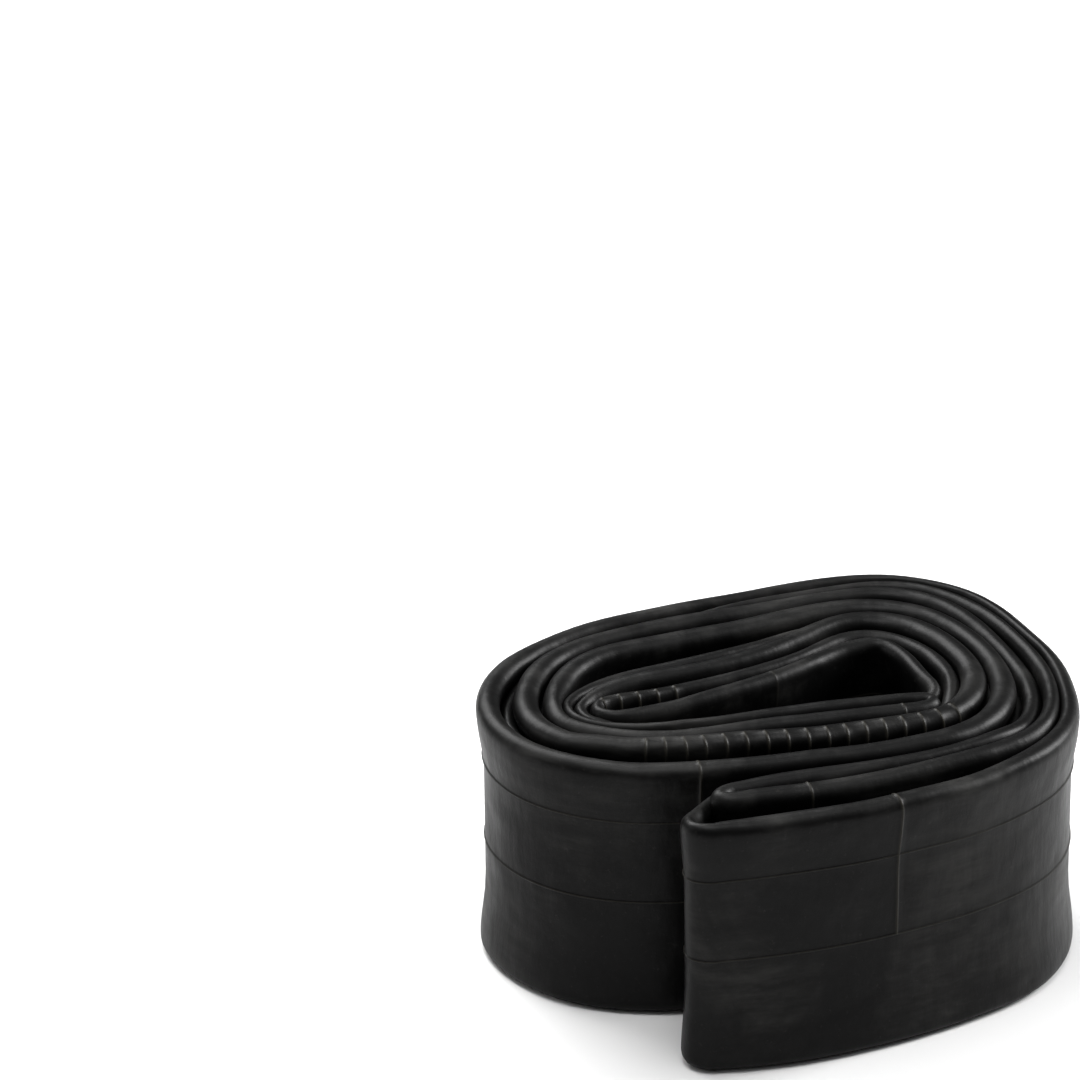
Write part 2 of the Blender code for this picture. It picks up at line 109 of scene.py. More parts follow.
# The strip once round its loop, in millimetres from the hub of the coil: for each stretch,
# how far its upper edge lies below the highest, how far its folded edge swells to each
# side, and its points. A point's last two values, where it has them, are how far the
# upper edge leans from the middle of the strip.
STRIP = (
    # deep layer behind the pocket's return, round the back and the right
    (2.0, 1.6, ((-42.3, 20.6), (-35, 23.8), (-27, 24.6), (-12, 23.8), (-1, 24.2), (10, 26))),
    (3.8, 1.5, (
        (18.4, 26.2), (24.8, 23.9), (29.9, 18), (32.1, 10), (31.7, -0.5), (29.6, -7), (26.4, -12.2),
    )),
    (4.0, 1.4, (
        (22.6, -16.2), (17.6, -18.7), (12, -19.8), (5, -19.8), (-10, -16.8), (-30, -12.4),
        (-39.4, -9.4), (-50, -1.6),
    )),
    (3.6, 1.5, ((-54.8, 4.5), (-57.3, 12), (-56.2, 20), (-52.2, 26.6), (-46.6, 31.8))),
    (2.2, 1.7, ((-39, 36.5), (-29, 38.8), (-20, 38.9), (-10, 38.3))),
    (0.6, 1.9, ((0, 37.4), (8, 36.8), (15.4, 36.1), (23.6, 35.1), (30.6, 33.1))),
    (0.0, 2.0, ((36.4, 28.9), (40.7, 22), (42.4, 12.4), (41.9, 2), (40.7, -6.6), (38, -14.4))),
    (0.3, 2.2, (
        (35, -20.2), (31.6, -24.8), (26.8, -28.4), (18.4, -30.6), (7, -31.4), (-10, -30.6),
        (-20, -29.2), (-30, -27.4), (-35.5, -26.8),
    )),
    # inner fold of the flap
    (0.2, 1.7, ((-38, -25.2), (-35.6, -23.6))),
    (0.3, 2.0, ((-30, -23.4), (-20, -24.9), (-10, -26.8), (0, -28.2), (10, -28.5), (19.6, -27.1))),
    (1.4, 1.8, ((25.6, -24.7), (30.4, -20.4), (33.8, -14.8), (36.7, -7), (38.6, 4))),
    (0.0, 2.1, ((37.9, 16.6), (35, 24.8), (29.4, 30.5), (21.8, 32.5), (13.6, 33.7), (5.5, 34.5))),
    (0.0, 2.2, ((-2.7, 35.1), (-10.6, 36.1), (-18.5, 36.8), (-27, 36.8), (-35, 35.5), (-39, 34))),
    (0.0, 2.4, ((-42.4, 32), (-46, 28.9), (-49.8, 24.4), (-52.8, 19), (-54, 12.4), (-51.8, 4.9))),
    # the ribbed stretch
    (0.1, 2.4, (
        (-48, 0, 1.0, 2.0), (-38.4, -7.2, 0.6, 4.0), (-30, -9.1, 0, 3.0), (-20, -10.7, 0, 1.4),
        (-10, -12.6), (2, -14.9), (9.8, -16.1),
    )),
    (0.1, 2.5, ((16, -15.5), (20.5, -13.4), (24.2, -10.2), (27.4, -5.8), (29.5, -0.2))),
    (0.1, 2.6, ((30, 7.4), (27.9, 16.3), (23.2, 21.7), (17.2, 23.6), (7.4, 21.5))),
    (0.1, 2.4, ((-2.8, 18.8), (-12.4, 18), (-20.8, 18.2), (-28.6, 19.4), (-36.4, 19.6))),
    (0.8, 1.9, ((-41, 18.1), (-43.9, 15.4), (-44.4, 12, 0.2, -0.6), (-42.3, 8.3, 0.4, 0.6))),
    # round the hollow
    (3.4, 1.5, (
        (-38.5, 3.9, 1.2, 2.4), (-34.75, 0.36, 1.2, 3.3), (-30, -0.2, 0, 3.5),
        (-10, -1.1, 0, 0.4), (6, -4.8), (12, -6.2), (17, -6.2),
    )),
    (1.6, 1.7, ((20.7, -3.6, -1.0, -0.6), (21.2, 2.5, -1.2, 0), (21.5, 8.4, -0.6, 0))),
    (0.7, 1.9, ((18.9, 14.4), (12.3, 15.7), (1.6, 12.5, 0, 0), (-9, 11.2, 0, -1.0))),
    (0.9, 1.6, ((-27, 11.9, 0, -3.2), (-36, 12.6, 0, -3.2), (-40, 12.8, 0.4, -2.6))),
    # innermost fold
    (0.6, 1.5, ((-41.4, 14, 0, -1.6), (-40, 15.5, 0, -0.6))),
    (0.8, 2.0, ((-35, 15.4, 0, 0.2), (-27, 14.8, 0, -0.6))),
    (1.2, 1.8, ((-14, 14.4, 0, -0.2), (-5, 14.6), (4, 16.2), (11.6, 19.2))),
    (1.6, 1.8, ((19, 19.2), (23.9, 13.6), (25.4, 6), (24.8, -0.4), (22.9, -5), (20.4, -9))),
    (3.6, 1.5, ((17.6, -12.3), (12.6, -13.8), (6, -13.3))),
    (4.0, 1.4, ((-10, -9.9), (-30, -6.9, 0, 2.6), (-37.4, -5.3, 0.6, 3.4))),
    (5.0, 1.5, ((-47, 2.9, 0.8, 1.6), (-50, 7.2), (-51.6, 12), (-50.4, 18), (-47.2, 23.6))),
    (4.0, 1.4, (
        (-43.6, 27.9), (-38.4, 31.6), (-32, 33.7), (-22, 34.1), (-12, 33.3), (0, 32.3),
        (11, 31.4), (20.6, 30.35),
    )),
    (4.2, 1.4, (
        (28.4, 27.9), (34, 20.8), (36.3, 12.5), (36.5, 5), (35.9, -1.5), (34.2, -7.6),
        (30.8, -15),
    )),
    (4.0, 1.5, (
        (27.4, -19.6), (22.8, -23.4), (15.8, -25.6), (7, -25.9), (-3, -24.9), (-10, -23.8),
        (-20, -21.8),
    )),
    (2.6, 1.5, ((-30, -20.1), (-36.7, -21.2), (-42, -24.8))),
    # outer fold of the flap, and the flap
    (0.5, 1.6, ((-45.8, -28.4), (-46.8, -31.6), (-44.6, -33.9))),
    (0.3, 2.2, (
        (-40, -35.2), (-30, -37.6), (-18, -39.4), (-4, -39.8), (9, -38.7), (21.2, -35.8),
        (28.8, -31.6),
    )),
    (0.3, 2.1, (
        (33.4, -27.4), (37.2, -22), (40.2, -16), (42.9, -7.5), (44.2, 4), (44.6, 14.6),
        (42.7, 23.3),
    )),
    (0.2, 2.2, (
        (38.2, 29.6), (31.8, 35), (25, 37.8), (16, 39), (3.6, 39.7), (-12.6, 40.8), (-20.9, 41.1),
        (-29, 40.8),
    )),
    (0.0, 2.2, ((-39.5, 38.6), (-48.2, 34.2), (-54.4, 28.9), (-59, 22.4), (-60.8, 15.4))),
    (0.0, 2.2, (
        (-60.4, 8.6), (-58.2, 2), (-54, -4.2), (-46, -10.4), (-38, -13.9), (-30, -16.3),
        (-17, -19.2), (-6, -21.8),
    )),
    (0.0, 2.4, (
        (6, -23.4), (14, -23.1), (20.9, -20.9), (25.2, -17.6), (28.8, -13.4), (31.8, -7.6),
        (33.8, -0.6), (34.3, 8),
    )),
    (0.0, 2.4, (
        (32.8, 17.6), (27.6, 24.8), (20.6, 28.2), (12, 29.2), (3.2, 29.7), (-6, 29.6), (-14, 30.5),
        (-22, 31.3),
    )),
    (0.1, 2.3, ((-30, 31.4), (-37, 29.2), (-42.2, 25.4), (-46, 21), (-48.6, 16), (-49.1, 11.6))),
    # the pocket
    (0.5, 2.0, ((-45.8, 5, 0.6, 1.4), (-36.6, -3.2, 0.4, 2.6), (-30, -4.5, 0, 2.4))),
    (0.2, 2.0, ((-10, -6.8), (-2.6, -8.6), (5, -10.4), (11.2, -11.5))),
    (0.9, 1.4, ((15.2, -10.9), (14.9, -9.2))),
    (0.1, 1.9, (
        (12, -8.7), (5, -7.3), (-10, -3.4), (-30, -2.42, 0, 3.0), (-36, -1.2, 0.6, 2.6),
        (-40.4, 2.3, 0.8, 1.6),
    )),
    (0.8, 1.7, ((-44.7, 7, 0.4, 0.6), (-46.8, 12.2), (-46, 17))),
)

# Raised marks across the strip: the middle of each row of ribs, with how many there are on
# each side of it, and a point of each single mark, with its height as a share of a rib's.
RIB_PITCH = 3.62
RIB_MARKS = (((-12.4, -12.0), 8), ((-32.0, 15.3), 2))
CROSS_MARKS = (
    (-10.5, -39.5, 1.0), (-36, -14.6, 0.9), (-22, -29, 0.8), (8.6, -11, 0.5), (-6.2, 10.8, 0.3),
)


def smoothstep(x):
    """An even rise from 0 to 1."""
    x = np.clip(x, 0.0, 1.0)
    return x * x * (3.0 - 2.0 * x)


def around(values, sigma, gap):
    """Values along the loop, smoothed over a length, where gap is the length between two."""
    count = len(values)
    reach = np.minimum(np.arange(count), count - np.arange(count)) * gap
    kernel = np.exp(-0.5 * (reach / sigma) ** 2)
    spectrum = np.fft.rfft(kernel / kernel.sum())
    if values.ndim == 2:
        spectrum = spectrum[:, None]
    return np.fft.irfft(np.fft.rfft(values, axis=0) * spectrum, n=count, axis=0)


def catmull_rom(points, steps):
    """A closed centripetal curve through the points, as an array of samples."""
    p0, p1, p2, p3 = (np.roll(points, k, axis=0)[:, None] for k in (1, 0, -1, -2))
    t1 = np.sqrt(np.linalg.norm(p1 - p0, axis=2, keepdims=True))
    t2 = t1 + np.sqrt(np.linalg.norm(p2 - p1, axis=2, keepdims=True))
    t3 = t2 + np.sqrt(np.linalg.norm(p3 - p2, axis=2, keepdims=True))
    t = t1 + (t2 - t1) * (np.arange(steps) / steps)[None, :, None]
    a1 = p0 + (p1 - p0) * t / t1
    a2 = p1 + (p2 - p1) * (t - t1) / (t2 - t1)
    a3 = p2 + (p3 - p2) * (t - t2) / (t3 - t2)
    b1 = a1 + (a2 - a1) * t / t2
    b2 = a2 + (a3 - a2) * (t - t1) / (t3 - t1)
    return (b1 + (b2 - b1) * (t - t1) / (t2 - t1)).reshape(-1, 2)


class Strip:
    """The centreline of the wound strip and what holds along it, at even spacing."""

    GAP = 0.25

    def __init__(self):
        rows = [(*p, 0.0, 0.0)[:4] + (drop, swell) for drop, swell, line in STRIP for p in line]
        table = np.array(rows)
        raw = catmull_rom(table[:, :2], CURVE_STEPS)
        knots = np.arange(len(raw)) / CURVE_STEPS
        length = self.lengths(raw)
        self.total = length[-1]
        count = int(self.total / self.GAP)
        self.gap = self.total / count
        at = np.arange(count) * self.gap
        where = np.interp(at, length, np.append(knots, len(rows)))
        wrapped = np.vstack([table, table[:1]])
        ring = np.arange(len(wrapped))
        self.lean = np.column_stack([np.interp(where, ring, wrapped[:, k]) for k in (2, 3)])
        self.drop = around(np.interp(where, ring, wrapped[:, 4]), DROP_SMOOTHING, self.gap)
        self.swell = around(np.interp(where, ring, wrapped[:, 5]), SWELL_SMOOTHING, self.gap)
        closed = np.vstack([raw, raw[:1]])
        even = np.column_stack([np.interp(at, length, closed[:, k]) for k in (0, 1)])
        tight = around(even, FINE_SMOOTHING, self.gap)
        easy = around(even, EASY_SMOOTHING, self.gap)
        fold = (self.bend(tight) > FOLD_BEND).astype(float)
        fold = smoothstep(around(fold, FOLD_SMOOTHING, self.gap) * FOLD_GROWTH)[:, None]
        self.xy = tight * fold + easy * (1.0 - fold) + HUB
        self.along = at

    def lengths(self, xy):
        """The distance travelled at each sample, and once round."""
        closed = np.vstack([xy, xy[:1]])
        return np.append(0.0, np.cumsum(np.linalg.norm(np.diff(closed, axis=0), axis=1)))

    def bend(self, xy):
        """The curvature at each sample, in radians per millimetre."""
        step = np.roll(xy, -1, axis=0) - xy
        angle = np.unwrap(np.arctan2(step[:, 1], step[:, 0]))
        laps = round((angle[-1] - angle[0]) / math.tau)
        turn = np.diff(np.append(angle, angle[0] + laps * math.tau))
        return np.abs(around(turn, BEND_SMOOTHING, self.gap)) / self.gap

    def near(self, point):
        """How far along the strip its nearest place to a point, given from the hub, lies."""
        gaps = np.linalg.norm(self.xy - (np.array(point) + HUB), axis=1)
        return self.along[int(gaps.argmin())]

    def at(self, stations, values):
        """Values along the strip, read at the stations."""
        x = np.append(self.along, self.total)
        wrapped = np.concatenate([values, values[:1]])
        if values.ndim == 1:
            return np.interp(stations, x, wrapped)
        return np.column_stack([np.interp(stations, x, wrapped[:, k]) for k in range(2)])


def marks(strip):
    """Where the raised marks cross the strip: the ribs, and the single lines."""
    ribs = []
    for middle, each_side in RIB_MARKS:
        centre = strip.near(middle)
        ribs += [centre + k * RIB_PITCH for k in range(-each_side, each_side + 1)]
    return np.array(ribs), np.array([strip.near((x, y)) for x, y, share in CROSS_MARKS])


def choose_stations(strip, crossings):
    """Where the strip gets a section: closer together where it bends or a mark crosses it."""
    density = 1.0 / STATION_GAP + strip.bend(strip.xy) * STATIONS_PER_RADIAN
    density = around(density, 1.0, strip.gap)
    amount = np.append(0.0, np.cumsum(density * strip.gap))
    count = int(amount[-1])
    even = np.interp(np.arange(count) * amount[-1] / count, amount, np.append(strip.along, strip.total))
    over_mark = np.array([-2.0, -1.0, -0.5, 0.0, 0.5, 1.0, 2.0]) * RIB_HALF
    fine = (crossings[:, None] + over_mark).ravel()
    clear = np.abs(even[:, None] - crossings[None]).min(axis=1) > 2.6 * RIB_HALF
    return np.sort(np.concatenate([even[clear], fine % strip.total]))


def neighbours(strip, stations, xy, normal):
    """For each side, how far the first and second layers lie from each station, and their drops."""
    start, place, drops = (v[::RAY_STRIDE] for v in (strip.xy, strip.along, strip.drop))
    span = np.roll(start, -1, axis=0) - start
    found = {}
    for side in (1, -1):
        ray = normal * side
        cross = ray[:, None, 0] * span[None, :, 1] - ray[:, None, 1] * span[None, :, 0]
        cross = np.where(np.abs(cross) < 1e-9, 1e-9, cross)
        offset = start[None] - xy[:, None]
        reach = (offset[..., 0] * span[None, :, 1] - offset[..., 1] * span[None, :, 0]) / cross
        share = (offset[..., 0] * ray[:, None, 1] - offset[..., 1] * ray[:, None, 0]) / cross
        apart = np.abs(place[None] - stations[:, None])
        apart = np.minimum(apart, strip.total - apart)
        hit = (share >= -0.01) & (share <= 1.01) & (reach > RAY_START) & (apart > OWN_STRETCH)
        reach = np.where(hit, reach, FAR)
        near = reach.min(axis=1)
        beyond = np.where(reach > near[:, None] + LAYER_GAP, reach, FAR)
        near_drop, far_drop = drops[reach.argmin(axis=1)], drops[beyond.argmin(axis=1)]
        found[side] = (near, near_drop, beyond.min(axis=1), far_drop)
    return found


def swell_limit(drop, swell, hits):
    """How far a folded edge can swell to one side before it meets the layers there."""
    near, near_drop, far, far_drop = hits
    higher = near_drop - drop
    level = np.abs(higher) < SAME_LEVEL
    shared = (near - CLEARANCE) / 2
    under = near - WALL_HALF - CLEARANCE
    reach = np.minimum(EDGE_REACH, np.maximum(under, LEAST_REACH))
    over = np.hypot(near, higher) - reach - CLEARANCE
    limit = np.where(level, shared, np.where(higher < 0, under, over))
    far_level = np.abs(far_drop - drop) < SAME_LEVEL
    limit = np.minimum(limit, np.where(far_level, (far - CLEARANCE) / 2, far - FAR_REACH))
    return np.clip(np.minimum(swell, limit), WALL_HALF + LEAST_SWELL, None)


def wave(rng, along, total, turns, sizes):
    """A smooth closed wobble along the strip."""
    made = np.zeros(len(along))
    for turn, size in zip(turns, sizes):
        made += size * np.sin(math.tau * turn * along / total + rng.uniform(0, math.tau))
    return made


def section_rows():
    """The heights at which a section has points on each side, as shares between its end caps."""
    over_line = [k * (LINE_HALF / WIDTH) for k in (-1.6, -0.8, 0.0, 0.8, 1.6)]
    rows = [0.0, 0.02, 0.05, 0.09, 0.14, 0.2, 0.28, 0.36]
    rows += [LINE_LEVELS[1] + step for step in over_line]
    rows += [0.52, 0.6, 0.68, 0.75]
    rows += [LINE_LEVELS[0] + step for step in over_line]
    rows += [0.835, 0.865, 0.89, 0.915, 0.94, 0.96, 0.978, 0.99, 1.0]
    return np.array(rows)


def tube_mesh():
    """The strip as a closed skin: a dog-bone section carried round the loop."""
    strip = Strip()
    ribs, singles = marks(strip)
    crossings = np.concatenate([ribs, singles])
    stations = choose_stations(strip, crossings)
    rng = np.random.default_rng(SEED)
    count = len(stations)

    xy = strip.at(stations, strip.xy)
    ahead = strip.at((stations + HEADING_STEP) % strip.total, strip.xy)
    behind = strip.at((stations - HEADING_STEP) % strip.total, strip.xy)
    heading = ahead - behind
    heading /= np.linalg.norm(heading, axis=1, keepdims=True)
    normal = np.column_stack([heading[:, 1], -heading[:, 0]])
    drop = strip.at(stations, strip.drop)
    lean = strip.at(stations, strip.lean)
    swell = strip.at(stations, strip.swell)
    hits = neighbours(strip, stations, xy, normal)

    sizes = (0.12, 0.1, 0.08, 0.05)
    drop = drop + wave(rng, stations, strip.total, (23, 37, 61, 97), sizes)
    top = WIDTH - np.maximum(drop, 0.0)
    base = np.maximum(drop - LIFT_FREE, 0.0) * BASE_LIFT
    tilt = wave(rng, stations, strip.total, (31, 53, 79), (0.12, 0.1, 0.07))

    limits = {}
    for side in (1, -1):
        edge = swell_limit(strip.at(stations, strip.drop), swell, hits[side])
        even = np.interp(strip.along, stations, edge, period=strip.total)
        limits[side] = strip.at(stations, around(even, LIMIT_SMOOTHING, strip.gap))

    columns, marked = [], []
    low_end, high_end = base + BASE_CAP, top - TOP_CAP
    height = high_end - low_end
    rib_weight = np.exp(-(((stations[:, None] - ribs[None]) / RIB_HALF) ** 2)).sum(axis=1)
    single_weight = np.exp(-(((stations[:, None] - singles[None]) / RIB_HALF) ** 2))
    single_weight = single_weight @ np.array([share for x, y, share in CROSS_MARKS])

    def column(side, share, cap=0.0, end=1):
        """One row of points round the loop: a share of the height, or an angle round a cap."""
        near = hits[side][0]
        edge = limits[side]
        taper = smoothstep((near - TAPER_NEAR) / TAPER_SPAN)
        taper = INNER_TAPER + (OUTER_TAPER - INNER_TAPER) * taper
        level = low_end + share * height
        up = smoothstep(1.0 - (high_end - level) / taper)
        down = smoothstep(1.0 - (level - low_end) / taper)
        half = WALL_HALF + (edge - WALL_HALF) * up
        half = half + (np.minimum(edge, BASE_SWELL) - WALL_HALF) * down
        if cap:
            half = half * math.cos(cap)
            level = level + (TOP_CAP if end > 0 else -BASE_CAP) * math.sin(cap)
        ridge = np.zeros(count)
        if not cap:
            for line in LINE_LEVELS:
                if abs(share - line) < LINE_HALF / WIDTH / 2:
                    ridge = np.ones(count)
        raised = LINE_HEIGHT * ridge
        cross = np.zeros(count)
        if side > 0 and share > LINE_LEVELS[1]:
            cross = rib_weight
        if share >= LINE_LEVELS[1]:
            cross = np.maximum(cross, single_weight)
        raised = np.maximum(raised, RIB_HEIGHT * cross * (1.0 if side > 0 else INNER_RIB))
        out = half + raised * (math.cos(cap) if cap else 1.0)
        if cap and end > 0:
            level = level + raised * math.sin(cap)
        rise = (level - WIDTH / 2) / (WIDTH / 2)
        shift = lean * smoothstep((level / WIDTH - LEAN_START) / LEAN_RISE)[:, None]
        shift = shift + BASE_SHIFT * (0.5 - level / WIDTH)[:, None]
        place = xy + normal * (side * out + tilt * rise)[:, None] + shift
        columns.append(np.column_stack([place, level]))
        marked.append(np.maximum(ridge, cross))

    rows = section_rows()
    column(1, 0.0, cap=CAP_POLE, end=-1)
    for angle in CAP_ANGLES[::-1]:
        column(1, 0.0, cap=angle, end=-1)
    for share in rows:
        column(1, share)
    for angle in CAP_ANGLES:
        column(1, 1.0, cap=angle)
    column(1, 1.0, cap=CAP_POLE)
    for angle in CAP_ANGLES[::-1]:
        column(-1, 1.0, cap=angle)
    for share in rows[::-1]:
        column(-1, share)
    for angle in CAP_ANGLES:
        column(-1, 0.0, cap=angle, end=-1)

    grid = np.stack(columns, axis=1) * MM
    return stations, grid, np.stack(marked, axis=1), strip.total


def strip_quads(low, high):
    """The corners of the quads between two stacks of closed rings of points."""
    corners = [low, high, np.roll(high, -1, axis=1), np.roll(low, -1, axis=1)]
    return np.stack(corners, axis=-1).reshape(-1, 4)


def add_map(mesh, name, along, across):
    """A map whose quads run from one value to the next, along and across."""
    u = np.stack([along[:-1], along[1:], along[1:], along[:-1]], axis=-1)
    v = np.stack([across[:-1], across[:-1], across[1:], across[1:]], axis=-1)
    u = np.repeat(u[:, None], len(v), axis=1)
    v = np.repeat(v[None], len(u), axis=0)
    layer = mesh.uv_layers.new(name=name)
    layer.data.foreach_set("uv", np.stack([u, v], axis=-1).reshape(-1))


def loop_mesh(name, grid, marked, stations, total):
    """A mesh from a grid that closes on itself both ways, with a map in metres along and across."""
    count, around_count = grid.shape[:2]
    index = np.arange(count * around_count).reshape(count, around_count)
    quads = strip_quads(index, np.roll(index, -1, axis=0))
    mesh = bpy.data.meshes.new(name)
    mesh.vertices.add(count * around_count)
    mesh.vertices.foreach_set("co", grid.reshape(-1))
    mesh.loops.add(quads.size)
    mesh.loops.foreach_set("vertex_index", quads.reshape(-1))
    mesh.polygons.add(len(quads))
    mesh.polygons.foreach_set("loop_start", np.arange(0, quads.size, 4))
    mesh.polygons.foreach_set("use_smooth", np.ones(len(quads), bool))
    mesh.update(calc_edges=True)
    mesh.validate()

    step = np.linalg.norm(np.roll(grid, -1, axis=1) - grid, axis=2).mean(axis=0)
    across = np.append(0.0, np.cumsum(step))
    add_map(mesh, "strip", np.append(stations, total) * MM, across)
    attribute = mesh.attributes.new("mould", "FLOAT", "POINT")
    attribute.data.foreach_set("value", marked.reshape(-1))
    return mesh


class Nodes:
    """Short calls for building a material's node tree."""

    def __init__(self, name):
        self.material = bpy.data.materials.new(name)
        self.material.use_nodes = True
        self.tree = self.material.node_tree
        self.shader = self.tree.nodes["Principled BSDF"]

    def add(self, kind, settings=None, **inputs):
        """A node with its settings, and its inputs set to values or linked to sockets."""
        node = self.tree.nodes.new("ShaderNode" + kind)
        for key, value in (settings or {}).items():
            setattr(node, key, value)
        for key, value in inputs.items():
            self.set(node, key.replace("_", " "), value)
        return node

    def set(self, node, key, value):
        """Sets an input, by its name or number, to a value or links it to a socket."""
        socket = node.inputs[int(key)] if key.isdigit() else node.inputs[key]
        if isinstance(value, bpy.types.NodeSocket):
            self.tree.links.new(value, socket)
        else:
            socket.default_value = value

    def noise(self, vector, scale, detail, roughness, distortion=0.0):
        node = self.add(
            "TexNoise", Vector=vector, Scale=scale, Detail=detail,
            Roughness=roughness, Distortion=distortion,
        )
        return node.outputs["Fac"]

    def ramp(self, fac, *stops):
        """A colour ramp of (place, value) stops, where a value is grey or a colour."""
        node = self.add("ValToRGB", Fac=fac)
        elements = node.color_ramp.elements
        while len(elements) < len(stops):
            elements.new(0.5)
        for element, (place, value) in zip(elements, stops):
            element.position = place
            element.color = (value,) * 3 + (1,) if isinstance(value, float) else (*value, 1)
        return node.outputs["Color"]

    def scaled(self, vector, scale):
        return self.add("Mapping", Vector=vector, Scale=scale).outputs["Vector"]

    def math(self, kind, a, b):
        node = self.add("Math", {"operation": kind})
        self.set(node, "0", a)
        self.set(node, "1", b)
        return node.outputs["Value"]

    def mix(self, fac, a, b):
        node = self.add("Mix", {"data_type": "RGBA"})
        self.set(node, "Factor", fac)
        for key, value in ((6, a), (7, b)):
            if isinstance(value, tuple):
                value = (*value, 1)
            self.set(node, str(key), value)
        return node.outputs[2]

    def bump(self, height, distance, strength, normal=None):
        node = self.add("Bump", Height=height, Distance=distance, Strength=strength)
        if normal:
            self.set(node, "Normal", normal)
        return node.outputs["Normal"]


def new_piece(name, mesh, material, body, node):
    """A piece of the model that rides on a body and stands for a CAD node."""
    piece = bpy.data.objects.new(name, mesh)
    bpy.context.scene.collection.objects.link(piece)
    piece.data.materials.append(material)
    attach(piece, body)
    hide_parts(node)


def butyl():
    """Black butyl rubber: a soft sheen, clouded with talc, with lighter mould lines."""
    m = Nodes("butyl_rubber")
    strip = m.add("UVMap", {"uv_map": "strip"}).outputs["UV"]
    place = m.add("TexCoord").outputs["Object"]
    mould = m.add("Attribute", {"attribute_name": "mould"}).outputs["Fac"]
    clouds = m.ramp(m.noise(place, 30.0, 6.0, 0.62, 0.6), (0.46, 0.0), (0.64, 1.0))
    streaks = m.noise(m.scaled(strip, (70.0, 330.0, 1.0)), 1.0, 5.0, 0.65)
    streaks = m.ramp(streaks, (0.38, 0.15), (0.68, 1.0))
    specks = m.ramp(m.noise(place, 900.0, 3.0, 0.7), (0.62, 0.0), (0.74, 1.0))
    grain = m.noise(place, 2600.0, 3.0, 0.6)
    talc = m.math("MULTIPLY", clouds, streaks)
    base = m.mix(talc, (0.001, 0.001, 0.001), (0.019, 0.0186, 0.0176))
    base = m.mix(m.math("MULTIPLY", specks, 0.35), base, (0.022, 0.021, 0.019))
    base = m.mix(m.math("MULTIPLY", mould, 0.5), base, (0.034, 0.031, 0.024))
    m.set(m.shader, "Base Color", base)
    rough = m.math("ADD", m.math("MULTIPLY", talc, 0.16), 0.39)
    rough = m.math("ADD", rough, m.math("MULTIPLY", grain, 0.06))
    m.set(m.shader, "Roughness", rough)
    m.set(m.shader, "Specular IOR Level", 0.11)
    ripple = m.noise(m.scaled(strip, (420.0, 130.0, 1.0)), 1.0, 3.0, 0.5)
    dents = m.noise(m.scaled(strip, (60.0, 75.0, 1.0)), 1.0, 2.0, 0.5)
    fine = m.bump(grain, 0.00006, 0.4)
    fine = m.bump(ripple, 0.00035, 0.35, fine)
    m.set(m.shader, "Normal", m.bump(dents, 0.0022, 0.5, fine))
    return m.material


# The valve, in millimetres. Places are along its axis from its foot.
CAP_START = 38.4
CAP_END = 50.4
CAP_RADIUS = 4.7
STEM_END = 48.0
THREAD_START = 37.5
THREAD_PITCH = 0.794
THREAD_ROOT = 3.4
THREAD_DEPTH = 0.4
KNURLS = 36
KNURL_DEPTH = 0.22
PLUG_FLAT = 1.3  # half the width over the plug's two flats
PLUG_FLAT_START = 44.8
SPRING_START = 37.44
SPRING_END = 40.16
SPRING_RADIUS = 0.98
SPRING_WIRE = 0.14  # half the thickness of its wire
SPRING_TURNS = 5
SPRING_STEPS = 24  # sections of the wire in each turn
SPRING_RIM = 10  # points round the wire
SHARP = math.radians(38)  # edges bent by more than this stay sharp


def placed(place, *axes):
    """The matrix that takes x, y and z to three axes, and the origin to a place."""
    return Matrix.Translation(place) @ Matrix(axes).transposed().to_4x4()


def find_valve():
    """Where the valve lies: its foot, and the axis that the cap turns about."""
    joints = frame["record"]["behaviour"]["joints"]
    joint = next(j for j in joints if j["name"] == "cap_turn")
    axis = Vector(joint["axis"]).normalized()
    side = Vector((0, 0, 1)).cross(axis)
    return placed(Vector(joint["pos_m"]) - axis * CAP_END * MM, axis, side, axis.cross(side))


valve_place = find_valve()


def rounded(outline, size, closed):
    """The outline with its corners rounded off, each by up to a size."""
    made = []
    count = len(outline)
    for k, point in enumerate(outline):
        here = Vector(point)
        if not closed and k in (0, count - 1):
            made.append(here)
            continue
        before = Vector(outline[k - 1]) - here
        after = Vector(outline[(k + 1) % count]) - here
        if before.angle(after) > math.radians(165):
            made.append(here)
            continue
        first = here + before.normalized() * min(size, before.length * 0.4)
        last = here + after.normalized() * min(size, after.length * 0.4)
        for share in (0.0, 0.3, 0.7, 1.0):
            made.append(first.lerp(here, share).lerp(here.lerp(last, share), share))
    return np.array(made)


def turned_mesh(name, outline, steps, shape, size, closed):
    """A skin turned about the valve's axis, whose radius may vary with place and angle."""
    points = rounded(outline, size, closed)
    angle = np.arange(steps) * math.tau / steps
    along = np.repeat(points[:, :1], steps, axis=1)
    radius = np.repeat(points[:, 1:], steps, axis=1)
    turn = np.repeat(angle[None], len(points), axis=0)
    if shape:
        radius = shape(along, radius, turn)
    grid = np.stack([along, radius * np.cos(turn), radius * np.sin(turn)], axis=-1) * MM
    rows = len(points)
    index = np.arange(rows * steps).reshape(rows, steps)
    below = index if closed else index[:-1]
    above = np.roll(index, -1, axis=0) if closed else index[1:]
    mesh = bpy.data.meshes.new(name)
    mesh.from_pydata(grid.reshape(-1, 3).tolist(), [], strip_quads(below, above).tolist())
    length = np.append(0.0, np.cumsum(np.linalg.norm(np.diff(points, axis=0), axis=1)))
    length = np.append(length, length[-1] + 0.5)[:len(below) + 1]
    add_map(mesh, "turn", length * MM, np.arange(steps + 1) / steps)
    return tidy_mesh(mesh)


